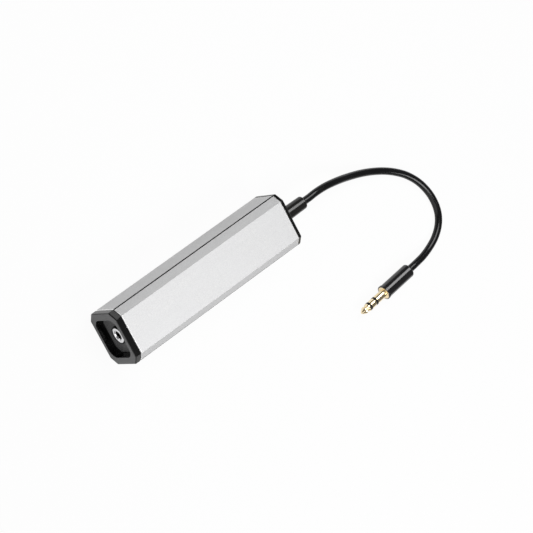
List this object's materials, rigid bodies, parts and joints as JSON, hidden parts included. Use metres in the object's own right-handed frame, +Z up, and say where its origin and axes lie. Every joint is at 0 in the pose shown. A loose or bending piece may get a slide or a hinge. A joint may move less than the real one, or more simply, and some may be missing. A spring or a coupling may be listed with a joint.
{
  "type": "ground loop isolator",
  "caption": "Slim chamfered aluminium housing with black end caps, a recessed 3.5 mm stereo jack at one end and a short cord with a 3.5 mm stereo plug at the other.",
  "frame": {"origin": "middle of the housing's footprint, on the surface that it lies on; the strain relief, the cord and the plug are left out of it", "axes": "+X from the jack end to the cord end, +Y towards the narrow side that faces away from the plug, +Z up out of the wide face"},
  "size_m": [0.172, 0.0696, 0.0195],
  "materials": {
    "anodised_tube": "bead-blasted, silver anodised",
    "cap_plastic": "satin black, fine moulded grain",
    "moulded_rubber": "satin black",
    "jack_plastic": "black",
    "nickel_plate": "bright nickel plate",
    "contact_brass": "plain sheet",
    "board_laminate": "green solder mask",
    "core_iron": "dark laminations",
    "bobbin_plastic": "ivory",
    "winding_copper": "copper wire under yellow tape",
    "wire_white": "white insulation",
    "wire_black": "black insulation",
    "wire_red": "red insulation",
    "cord_jacket": "smooth black jacket",
    "grip_black": "gloss black",
    "gold_plate": "polished gold plate"
  },
  "bodies": {
    "root": {"shell": "anodised_tube", "front_cap": "cap_plastic", "rear_cap": "cap_plastic", "strain_relief": "moulded_rubber", "jack_housing": "jack_plastic", "jack_bushing": "nickel_plate", "jack_sleeve_contact": "contact_brass", "jack_ring_contact": "contact_brass", "jack_tip_contact": "contact_brass", "circuit_board": "board_laminate", "left_core": "core_iron", "left_bobbin": "bobbin_plastic", "left_winding": "winding_copper", "left_pins": "contact_brass", "right_core": "core_iron", "right_bobbin": "bobbin_plastic", "right_winding": "winding_copper", "right_pins": "contact_brass", "wire_left": "wire_white", "wire_ground": "wire_black", "wire_right": "wire_red", "cord": "cord_jacket", "plug_grip": "grip_black", "plug_sleeve": "gold_plate", "plug_rear_insulator": "jack_plastic", "plug_ring_contact": "gold_plate", "plug_front_insulator": "jack_plastic", "plug_tip_contact": "gold_plate"}
  },
  "joints": []
}
